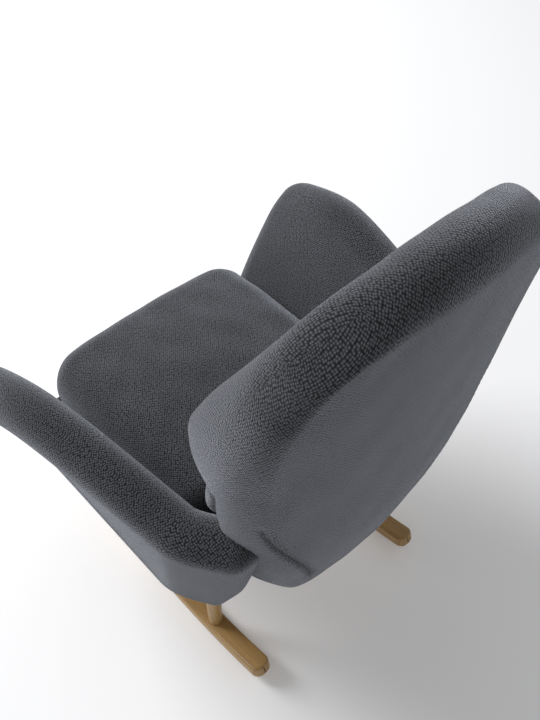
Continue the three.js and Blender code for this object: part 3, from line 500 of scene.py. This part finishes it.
def chenille(name):
    """Charcoal chenille: short plump grains in staggered rows, with highlights painted on their tops and
    shade painted between them, broad patches of painted sheen, and a sheen.
    """
    material, shader = blank_material(name)
    place = add_node(material, "ShaderNodeUVMap").outputs["UV"]
    waver = add_node(material, "ShaderNodeTexNoise", Vector=place, Scale=40.0, Detail=2)
    shift = add_node(material, "ShaderNodeVectorMath", {"operation": "SCALE"}, Vector=waver.outputs["Color"],
                     Scale=0.003)
    moved = add_node(material, "ShaderNodeVectorMath", {"operation": "ADD"})
    material.node_tree.links.new(place, moved.inputs[0])
    material.node_tree.links.new(shift.outputs["Vector"], moved.inputs[1])
    grain_scale = (math.sqrt(2) / GRAIN_LONG, math.sqrt(0.5) / GRAIN_HIGH, 1)
    lattice = add_node(material, "ShaderNodeMapping", Vector=moved.outputs["Vector"],
                       Rotation=(0, 0, math.pi / 4), Scale=grain_scale).outputs["Vector"]
    grains = add_node(material, "ShaderNodeTexVoronoi", {"voronoi_dimensions": "2D", "feature": "F1"},
                      Vector=lattice, Scale=1.0, Randomness=0.45)
    fuzz = add_node(material, "ShaderNodeTexNoise", Vector=place, Scale=2600.0, Detail=3)
    nap = add_node(material, "ShaderNodeTexNoise", Vector=place, Scale=9.0, Detail=2)
    mound = maths(material, "SUBTRACT", 1.0, grains.outputs["Distance"])
    height = maths(material, "ADD", mound, maths(material, "MULTIPLY", fuzz.outputs["Fac"], 0.35))
    # Painted shade in the gaps between the grains and painted highlights on their tops, put into the base
    # colour.
    painted_grain_shading = ramp(material, mound, (0.38, (0.004, 0.0042, 0.005)), (0.60, (0.040, 0.042, 0.048)),
                        (0.86, (0.125, 0.130, 0.143)))
    own = ramp(material, grains.outputs["Color"], (0.1, (0.72,) * 3), (0.9, (1.0,) * 3))
    # Broad patches of painted sheen: the cloth is painted lighter or darker where its nap lies a different
    # way.
    painted_nap_sheen = ramp(material, nap.outputs["Fac"], (0.35, (0.82,) * 3), (0.65, (1.0,) * 3))
    each = tinted(material, 0.8, painted_grain_shading, own, "MULTIPLY")
    plug(material, shader, Base_Color=tinted(material, 1.0, each, painted_nap_sheen, "MULTIPLY"), Roughness=0.9)
    bump = add_node(material, "ShaderNodeBump", Strength=0.95, Distance=0.0015, Height=height)
    plug(material, shader, Normal=bump.outputs["Normal"], Specular_IOR_Level=0.25)
    plug(material, shader, Sheen_Weight=0.70, Sheen_Roughness=0.38, Sheen_Tint=(0.86, 0.90, 1.0, 1.0))
    return material


cloth = chenille("charcoal_chenille")


def smoothstep(x, low=0.0, high=1.0):
    t = np.clip((x - low) / (high - low), 0, 1)
    return t * t * (3 - 2 * t)


def eased(values, share):
    """A value a share of the way along a row of evenly spaced values, with no corner at any of them."""
    line = np.array([2 * values[0] - values[1], *values, 2 * values[-1] - values[-2]])
    place = np.clip(share, 0, 1) * (len(values) - 1)
    start = np.minimum(place.astype(int), len(values) - 2)
    t = place - start
    a, b, c, d = (line[start + k] for k in range(4))
    return b + 0.5 * t * (c - a + t * (2 * a - 5 * b + 4 * c - d + t * (3 * (b - c) + d - a)))


def rim_rise(distance, radius):
    """Rounding of a padded rim: 0 at the edge, 1 from one radius inwards."""
    return np.sqrt(np.maximum(0, 1 - (1 - np.minimum(1, distance / radius)) ** 2))


def rim_steps(length, radius, rim_cells, middle_cells):
    """Steps from 0 to 1 across a pad, closer together in its rounded rim."""
    rim = radius / length * (1 - np.cos(np.linspace(0, math.pi / 2, rim_cells + 1)))
    middle = np.linspace(radius / length, 1 - radius / length, middle_cells + 1)
    return np.concatenate([rim[:-1], middle, 1 - rim[-2::-1]])


def rounding_length(inwards, edge, padding):
    """Length over a rounded rim from where it starts down to a distance in from the outline, less the length
    that it covers in plan. The rim is a quarter of an ellipse."""
    reached = np.minimum(1, inwards / edge)
    start = np.arccos(1 - reached)
    steps = np.linspace(0, 1, 13)
    turns = start[..., None] + (math.pi / 2 - start[..., None]) * (steps[1:] + steps[:-1]) / 2
    pieces = np.sqrt((edge * np.sin(turns)) ** 2 + (padding[..., None] * np.cos(turns)) ** 2)
    return pieces.mean(-1) * (math.pi / 2 - start) - edge * (1 - reached)


def weave_place(u, v, middle, width, length, in_u, in_v, corner, extra):
    """Where the cloth's weave lies: lengths across and along the middle surface, and over the rounded rim."""
    across = np.linalg.norm(np.diff(middle, axis=0), axis=-1)
    per_u = across.sum(0) / (u[-1] - u[0])
    a, b = np.maximum(0, 1 - in_u / corner), np.maximum(0, 1 - in_v / corner)
    turned = np.hypot(a, b)
    turned[turned == 0] = 1
    beyond_u, beyond_v = np.where(u < 0.5, -1, 1) * a / turned, np.where(v < 0.5, -1, 1) * b / turned
    return np.stack([(u - 0.5) * per_u + extra * beyond_u, (v - 0.5) * length + extra * beyond_v], -1)


def into_pad(in_u, in_v, corner):
    """Where points of a pad's grid lie: their distances in from the two nearest edges, with the grid's corner
    turned into a round one, and their distance in from the outline."""
    a, b = np.maximum(0, 1 - in_u / corner), np.maximum(0, 1 - in_v / corner)
    round_a, round_b = a * np.sqrt(1 - b * b / 2), b * np.sqrt(1 - a * a / 2)
    in_corner = (a > 0) & (b > 0)
    inwards = np.where(in_corner, corner * (1 - np.hypot(round_a, round_b)), np.minimum(in_u, in_v))
    turned_u = np.where(in_corner, corner * (1 - round_a), in_u)
    turned_v = np.where(in_corner, corner * (1 - round_b), in_v)
    return turned_u, turned_v, inwards


def cell_corners(values):
    """The four corners of each cell of a grid, in order round the cell, along a new last axis."""
    return np.stack([values[:-1, :-1], values[1:, :-1], values[1:, 1:], values[:-1, 1:]], -1)


def padded_form(name, patch, us, vs, width, length, edge, under_edge, above, below, corner=None, shape=None):
    """A closed pad round a patch of surface. above and below give the padding on its two sides, rounded off
    within edge and under_edge of the rim, and corner is the radius of its four corners. shape may move the
    points: it takes them with u, v, the outward directions, the distance from the rim and the side."""
    grid_u, grid_v = np.meshgrid(us, vs, indexing="ij")
    flat_u, flat_v = np.minimum(grid_u, 1 - grid_u) * width, np.minimum(grid_v, 1 - grid_v) * length
    corner = corner or max(edge, under_edge)
    in_u, in_v, inwards = into_pad(flat_u, flat_v, corner)
    u = np.where(grid_u < 0.5, in_u / width, 1 - in_u / width)
    v = np.where(grid_v < 0.5, in_v / length, 1 - in_v / length)
    small = 1e-3
    middle = patch(u, v)
    along = patch(np.minimum(1, u + small), v) - patch(np.maximum(0, u - small), v)
    across = patch(u, np.minimum(1, v + small)) - patch(u, np.maximum(0, v - small))
    out = np.cross(along, across)
    out /= np.linalg.norm(out, axis=-1, keepdims=True)
    top = middle + out * (above(u, v) * rim_rise(inwards, edge))[..., None]
    bottom = middle - out * (below(u, v) * rim_rise(inwards, under_edge))[..., None]
    if shape:
        top, bottom = shape(top, u, v, out, inwards, 1), shape(bottom, u, v, -out, inwards, -1)
    rim = (flat_u <= 0) | (flat_v <= 0)
    bottom[rim] = top[rim]
    count = u.size
    index = np.arange(count).reshape(u.shape)
    under = index + count
    under[rim] = index[rim]
    points = np.concatenate([top.reshape(-1, 3), bottom.reshape(-1, 3)])
    faces, corners = [], []
    for side, ids, rounding, padding in ((1, index, edge, above), (-1, under, under_edge, below)):
        extra = rounding_length(inwards, rounding, np.abs(padding(u, v)))
        lengths = weave_place(u, v, middle, width, length, in_u, in_v, corner, extra)
        quads = cell_corners(ids).reshape(-1, 4)
        spots = np.moveaxis(cell_corners(lengths), -1, -2).reshape(-1, 4, 2)
        if side < 0:
            quads, spots = quads[:, ::-1], spots[:, ::-1]
        faces.append(quads)
        corners.append(spots)
    faces, corners = np.concatenate(faces), np.concatenate(corners)
    used = np.unique(faces)
    renumbered = np.zeros(len(points), int)
    renumbered[used] = np.arange(len(used))
    mesh = bpy.data.meshes.new(name)
    mesh.from_pydata(points[used].tolist(), [], renumbered[faces].tolist())
    layer = mesh.uv_layers.new(name="weave")
    layer.data.foreach_set("uv", corners.astype(np.float32).ravel())
    return finished_piece(name, mesh, cloth, crease=80)


def in_chair(points):
    """Points of the reclined back, X across, Y behind and Z up the back, in the chair's own axes."""
    x, y, z = points[..., 0], points[..., 1], points[..., 2]
    c, s = math.cos(RECLINE), math.sin(RECLINE)
    return np.stack([x, back_y + y * c + z * s, back_z - y * s + z * c], -1)


def back_patch(x, up, front):
    """Points of the back's middle surface, a wide upright curve, moved forward by front."""
    return np.stack([x, -(x * x) / (2 * BACK_CYLINDER) - front, up], -1)


def shell_half_width(v):
    widening = np.sin(np.minimum(1, v / WIDEST_AT) * math.pi / 2)
    low = BOTTOM_HALF_WIDTH + (HALF_WIDTH - BOTTOM_HALF_WIDTH) * widening
    high = HALF_WIDTH + (TOP_HALF_WIDTH - HALF_WIDTH) * smoothstep(v, WIDEST_AT, 1)
    shoulder = np.clip((v - SHOULDER_START) / (1 - SHOULDER_START), 0, 1)
    return np.where(v < WIDEST_AT, low, high) * (1 - SHOULDER_PULL * shoulder**2)


def crown_drop(v, across):
    """How far the ends of the back's rows hang below their middle."""
    return SHOULDER_DROP * v**4 * across**2


def shell_tuck(u, v):
    """How far the shell's sides stand back from its middle surface."""
    return TUCK * (1 - smoothstep(v, *TUCK_ENDS)) * (2 * u - 1) ** 4


def shell_patch(u, v):
    across = 2 * u - 1
    front = SWELL * np.sin(math.pi * v) - shell_tuck(u, v)
    return in_chair(back_patch(across * shell_half_width(v), v * BACK_LENGTH - crown_drop(v, across), front))


def shell_front(u, v):
    into_roll = np.maximum(0, (v - ROLL_START) * BACK_LENGTH)
    roll = eased(ROLL_FRONT, (v - ROLL_START) / (1 - ROLL_START)) * (1 - ROLL_SIDE_LOSS * (2 * u - 1) ** 2)
    return SHELL_FRONT + (roll + shell_tuck(u, v) - SHELL_FRONT) * rim_rise(into_roll, ROLL_RADIUS)


def loosened(points, u, v, out, amount=0.0007):
    """The faint waviness of cloth drawn over soft padding."""
    broad = np.sin(23 * u + 9 * v + 1.3) * np.sin(17 * v - 7 * u)
    fine = 0.6 * np.sin(41 * u - 13 * v) * np.sin(31 * v + 2)
    return points + out * (amount * (broad + fine))[..., None]


def shell_seams(points, u, v, out, inwards, side):
    """A closing seam down each side of the rear, and folds that fan out from where the roll tucks in."""
    points = loosened(points, u, v, out)
    across = 2 * u - 1
    half = shell_half_width(v)
    if side < 0:
        line = SEAM_LOW + (SEAM_HIGH - SEAM_LOW) * smoothstep(v, *SEAM_ENDS)
        away = (np.abs(across) - line) * half
        opening = smoothstep(v, SEAM_ENDS[0] - 0.02, SEAM_ENDS[0] + 0.03)
        ends = opening * (1 - smoothstep(v, SEAM_ENDS[1] - 0.05, SEAM_ENDS[1]))
        stitches = np.sin(v * BACK_LENGTH / SEAM_STITCH * 2 * math.pi)
        groove = SEAM_DEPTH * np.exp(-(away / SEAM_HALF_WIDTH) ** 2)
        pucker = SEAM_PUCKER * stitches * np.exp(-((np.abs(away) - PUCKER_AWAY) / PUCKER_AWAY) ** 2)
        return points - out * (ends * (groove - pucker))[..., None]
    along = (v - FOLD_AT) * BACK_LENGTH
    outwards = (1.0 - np.abs(across)) * half
    reach = np.hypot(along, outwards)
    turn = np.arctan2(along, outwards)
    near = np.exp(-(((reach - FOLD_REACH) / FOLD_SPREAD) ** 2)) * rim_rise(inwards, 0.012)
    folds = np.sin(turn * 9 + 0.8) * near
    return points + out * (FOLD_HEIGHT * folds)[..., None]


roll_steps = ROLL_START + ROLL_RADIUS / BACK_LENGTH * (1 - np.cos(np.linspace(0, math.pi / 2, 10)))
shell_vs = np.concatenate([rim_steps(BACK_LENGTH, SHELL_REAR_EDGE, 18, 220), roll_steps])
shell_vs = np.unique(np.round(shell_vs, 5))
shell = padded_form(
    "back_shell_cover",
    shell_patch,
    rim_steps(2 * HALF_WIDTH, SHELL_REAR_EDGE, 18, 180),
    shell_vs,
    2 * HALF_WIDTH,
    BACK_LENGTH,
    SHELL_EDGE,
    SHELL_REAR_EDGE,
    shell_front,
    lambda u, v: eased(SHELL_REAR, v) - shell_tuck(u, v),
    SHELL_CORNER,
    shell_seams,
)
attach(shell, "root")
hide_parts("back_shell")


# ---------------------------------------------------------------- back cushion
# A foam cushion in the same chenille, tucked in under the head roll and behind the seat. It is narrower
# between the arms and widens above them.

CUSHION_REAR = 0.0293
CUSHION_THICKNESS = 0.048
CUSHION_BEHIND = 0.018
CUSHION_LOW = 0.070
CUSHION_LOW_HALF_WIDTH = 0.206
CUSHION_HALF_WIDTH = 0.268
CUSHION_WIDENS = (0.235, 0.350)
CUSHION_EDGE = 0.034
CUSHION_WRAP = 0.028
CUSHION_WRAP_START = 0.165
SOFT_GAP = 0.0015

cushion_high = ROLL_START * BACK_LENGTH - SOFT_GAP
cushion_reach = cushion_high - CUSHION_LOW


def back_cushion_patch(u, v):
    up = CUSHION_LOW + v * cushion_reach
    widening = smoothstep(up, *CUSHION_WIDENS)
    half = CUSHION_LOW_HALF_WIDTH + (CUSHION_HALF_WIDTH - CUSHION_LOW_HALF_WIDTH) * widening
    across = 2 * u - 1
    wrap = CUSHION_WRAP * smoothstep(np.abs(across) * half, CUSHION_WRAP_START, half)
    front = CUSHION_REAR + CUSHION_BEHIND - wrap
    return in_chair(back_patch(across * half, up - crown_drop(up / BACK_LENGTH, across), front))


back_cushion = padded_form(
    "back_cushion_cover",
    back_cushion_patch,
    rim_steps(2 * CUSHION_HALF_WIDTH, CUSHION_EDGE, 9, 60),
    rim_steps(cushion_reach, CUSHION_EDGE, 9, 50),
    2 * CUSHION_HALF_WIDTH,
    cushion_reach,
    CUSHION_EDGE,
    CUSHION_BEHIND,
    lambda u, v: np.full_like(u, CUSHION_THICKNESS - CUSHION_BEHIND),
    lambda u, v: np.full_like(u, CUSHION_BEHIND),
    shape=lambda points, u, v, out, inwards, side: loosened(points, u, v, out),
)
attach(back_cushion, "root")
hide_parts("back_cushion")


# ---------------------------------------------------------------- arms
# A padded wing on each side. It stands upright at the seat frame, opens outwards towards the front like
# a petal, and its rear end turns in to meet the back shell.

ARM_X = 0.268
ARM_THICKNESS = 0.083
ARM_LENGTH = 0.585
ARM_HEIGHT = 0.337
ARM_REAR_DROP = 0.063
ARM_FALLS_FROM = 0.3
ARM_FRONT_LOW = -0.019
ARM_FRONT_HIGH = 0.022
ARM_REAR_LOW = 0.524
ARM_REAR_HIGH = 0.607
FLARE_FRONT = 0.128
FLARE_REAR = 0.011
FLARE_START = 0.16
FLARE_POWER = 1.15
ARM_REAR_X = 0.222
ARM_WRAP_START = 0.8
ARM_CORNER = 0.31
CORNER_SETBACK = 0.027
CORNER_DROP = 0.064

frame_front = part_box("seat_rail_front")[0].y
arm_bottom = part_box("arm_pad_left")[0].z


def arm_patch(u, v):
    flare = np.maximum(0, (v - FLARE_START) / (1 - FLARE_START)) ** FLARE_POWER
    wrap = smoothstep(u, ARM_WRAP_START, 1) * (ARM_X - ARM_REAR_X)
    x = ARM_X + (FLARE_FRONT + (FLARE_REAR - FLARE_FRONT) * u) * flare - wrap
    corner_v = np.maximum(0, 1 - (1 - v) / ARM_CORNER)
    corner_u = np.maximum(0, 1 - u / ARM_CORNER)
    front = frame_front + ARM_FRONT_LOW + (ARM_FRONT_HIGH - ARM_FRONT_LOW) * v
    rear = frame_front + ARM_REAR_LOW + (ARM_REAR_HIGH - ARM_REAR_LOW) * v
    y = front + (rear - front) * u + CORNER_SETBACK * corner_v**2 * np.maximum(0, 1 - 2 * u)
    top = ARM_HEIGHT - ARM_REAR_DROP * smoothstep(u, ARM_FALLS_FROM, 1)
    z = arm_bottom + top * v - CORNER_DROP * corner_u**2 * v**2
    return np.stack([x, y, z], -1)


def cut_away(piece, *others):
    """Trims a pad where it meets its neighbours."""
    for other in others:
        trim = piece.modifiers.new("trim", "BOOLEAN")
        trim.operation = "DIFFERENCE"
        trim.solver = "EXACT"
        trim.object = other
    bpy.context.view_layer.update()
    evaluated = piece.evaluated_get(bpy.context.evaluated_depsgraph_get())
    trimmed = bpy.data.meshes.new_from_object(evaluated)
    piece.modifiers.clear()
    piece.data = trimmed


for side_name, side in (("left", 1), ("right", -1)):
    arm = padded_form(
        f"arm_cover_{side_name}",
        lambda u, v: arm_patch(u, v) * (side, 1, 1),
        rim_steps(ARM_LENGTH, ARM_THICKNESS / 2, 12, 90),
        rim_steps(ARM_HEIGHT, ARM_THICKNESS / 2, 12, 40),
        ARM_LENGTH,
        ARM_HEIGHT,
        ARM_THICKNESS / 2,
        ARM_THICKNESS / 2,
        lambda u, v: np.full_like(u, ARM_THICKNESS / 2),
        lambda u, v: np.full_like(u, ARM_THICKNESS / 2),
    )
    cut_away(arm, shell, back_cushion)
    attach(arm, "root")
    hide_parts(f"arm_pad_{side_name}")


# ---------------------------------------------------------------- seat cushion
# A thick loose cushion that fills the seat between the arms, crowned in the middle and rounded at the
# front.

SEAT_FRONT = -0.037
SEAT_UNDER = 0.044
SEAT_OVER = 0.060
SEAT_CROWN = 0.024
SEAT_EDGE = 0.050
SEAT_UNDER_EDGE = 0.026
SEAT_CORNER_PULL = 0.05
SEAT_CORNER_LENGTH = 0.4
SEAT_CORNER = 0.056
SEAT_SIDE_GAP = 0.004
SEAT_BOW = 0.020

seat_low, seat_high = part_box("seat_cushion")
seat_widest_z = seat_low.z + SEAT_UNDER
seat_front_y = frame_front + SEAT_FRONT
seat_rear_y = seat_high.y
seat_in_arm = (seat_widest_z - arm_bottom) / ARM_HEIGHT


def seat_half_width(v):
    y = seat_front_y + (seat_rear_y - seat_front_y) * v
    front = frame_front + ARM_FRONT_LOW + (ARM_FRONT_HIGH - ARM_FRONT_LOW) * seat_in_arm
    rear = frame_front + ARM_REAR_LOW + (ARM_REAR_HIGH - ARM_REAR_LOW) * seat_in_arm
    u = np.maximum(0, (y - front) / (rear - front))
    inner = arm_patch(u, np.full_like(u, seat_in_arm))[..., 0] - ARM_THICKNESS / 2 - SEAT_SIDE_GAP
    corner = np.maximum(0, 1 - v / SEAT_CORNER_LENGTH)
    return inner * (1 - SEAT_CORNER_PULL * corner**2)


def seat_patch(u, v):
    across = 2 * u - 1
    bow = SEAT_BOW * np.abs(across) ** 3 * np.maximum(0, 1 - 2 * v)
    x = across * seat_half_width(v)
    hollow = x * x / (2 * BACK_CYLINDER * math.cos(RECLINE))
    y = seat_front_y + bow + (seat_rear_y - hollow - seat_front_y - bow) * v
    return np.stack([x, y, np.full_like(x, seat_widest_z)], -1)


seat_width = 2 * float(seat_half_width(np.array(1.0)))
seat_length = seat_rear_y - seat_front_y
seat_cushion = padded_form(
    "seat_cushion_cover",
    seat_patch,
    rim_steps(seat_width, SEAT_EDGE, 12, 60),
    rim_steps(seat_length, SEAT_EDGE, 12, 60),
    seat_width,
    seat_length,
    SEAT_EDGE,
    SEAT_UNDER_EDGE,
    lambda u, v: SEAT_OVER + SEAT_CROWN * (1 - (2 * u - 1) ** 2) * (1 - (2 * v - 1) ** 2),
    lambda u, v: np.full_like(u, SEAT_UNDER),
    SEAT_CORNER,
    lambda points, u, v, out, inwards, side: loosened(points, u, v, out, 0.0010),
)
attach(seat_cushion, "root")
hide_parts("seat_cushion")


# ---------------------------------------------------------------- apron
# A padded board screwed over the front rail and covered in the same chenille.

apron_low, apron_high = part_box("apron")
apron_edge = (apron_high.y - apron_low.y) / 2


def apron_patch(u, v):
    x = apron_low.x + (apron_high.x - apron_low.x) * u
    z = apron_low.z + (apron_high.z - apron_low.z) * v
    return np.stack([x, np.full_like(x, (apron_low.y + apron_high.y) / 2), z], -1)


apron = padded_form(
    "apron_cover",
    apron_patch,
    rim_steps(apron_high.x - apron_low.x, apron_edge, 6, 90),
    rim_steps(apron_high.z - apron_low.z, apron_edge, 6, 10),
    apron_high.x - apron_low.x,
    apron_high.z - apron_low.z,
    apron_edge,
    apron_edge,
    lambda u, v: np.full_like(u, apron_edge),
    lambda u, v: np.full_like(u, apron_edge),
)
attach(apron, "root")
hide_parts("apron")


# ---------------------------------------------------------------- studio
# A pale floor in even light from all round, one large soft lamp high in front of the chair, and a camera
# behind it that looks down past the back's left shoulder onto the seat.

CAMERA_PLACE = Vector((0.6358, 0.7903, 1.6334))
CAMERA_AZIMUTH = math.radians(137.248)
CAMERA_ELEVATION = math.radians(48.028)
CAMERA_LENS = 42.72
FRAME_FRONT = -0.262

shift_y = frame_front - FRAME_FRONT
floor_material, shader = blank_material("pale_floor")
dust = add_node(floor_material, "ShaderNodeTexNoise", Scale=3.0, Detail=2)
floor_tone = ramp(floor_material, dust.outputs["Fac"],
                  (0.3, (0.86, 0.865, 0.88)), (0.7, (0.89, 0.895, 0.905)))
plug(floor_material, shader, Base_Color=floor_tone, Roughness=0.85, Specular_IOR_Level=0.1)
# The floor glows faintly: painted light that lightens the shadows on it and lights the chair's underside.
plug(floor_material, shader, Emission_Color=(1, 1, 1, 1), Emission_Strength=0.10)
mesh = bpy.data.meshes.new("floor")
mesh.from_pydata([(-30, -30, 0), (30, -30, 0), (30, 30, 0), (-30, 30, 0)], [], [(0, 1, 2, 3)])
mesh.materials.append(floor_material)
floor = bpy.data.objects.new("floor", mesh)
bpy.context.scene.collection.objects.link(floor)


def soft_light(name, place, aim, size, power):
    data = bpy.data.lights.new(name, "AREA")
    data.shape = "DISK"
    data.size = size
    data.energy = power
    lamp = bpy.data.objects.new(name, data)
    lamp.location = place
    lamp.rotation_euler = (Vector(aim) - Vector(place)).to_track_quat("-Z", "Y").to_euler()
    bpy.context.scene.collection.objects.link(lamp)


soft_light("key", (1.7, -5.2, 4.3), (0, 0, 0.5), 4.4, 520)

world = bpy.data.worlds.new("studio")
world.use_nodes = True
world.node_tree.nodes["Background"].inputs["Color"].default_value = (1, 1, 1, 1)
world.node_tree.nodes["Background"].inputs["Strength"].default_value = 0.42
bpy.context.scene.world = world
bpy.context.scene.view_settings.view_transform = "Standard"

lens = bpy.data.cameras.new("camera")
lens.lens = CAMERA_LENS
lens.clip_start = 0.01
camera = bpy.data.objects.new("camera", lens)
camera.location = CAMERA_PLACE + Vector((0, shift_y, 0))
looking = Vector((-math.sin(CAMERA_AZIMUTH) * math.cos(CAMERA_ELEVATION),
                  math.cos(CAMERA_AZIMUTH) * math.cos(CAMERA_ELEVATION),
                  -math.sin(CAMERA_ELEVATION)))
camera.rotation_euler = looking.to_track_quat("-Z", "Y").to_euler()
bpy.context.scene.collection.objects.link(camera)
bpy.context.scene.camera = camera
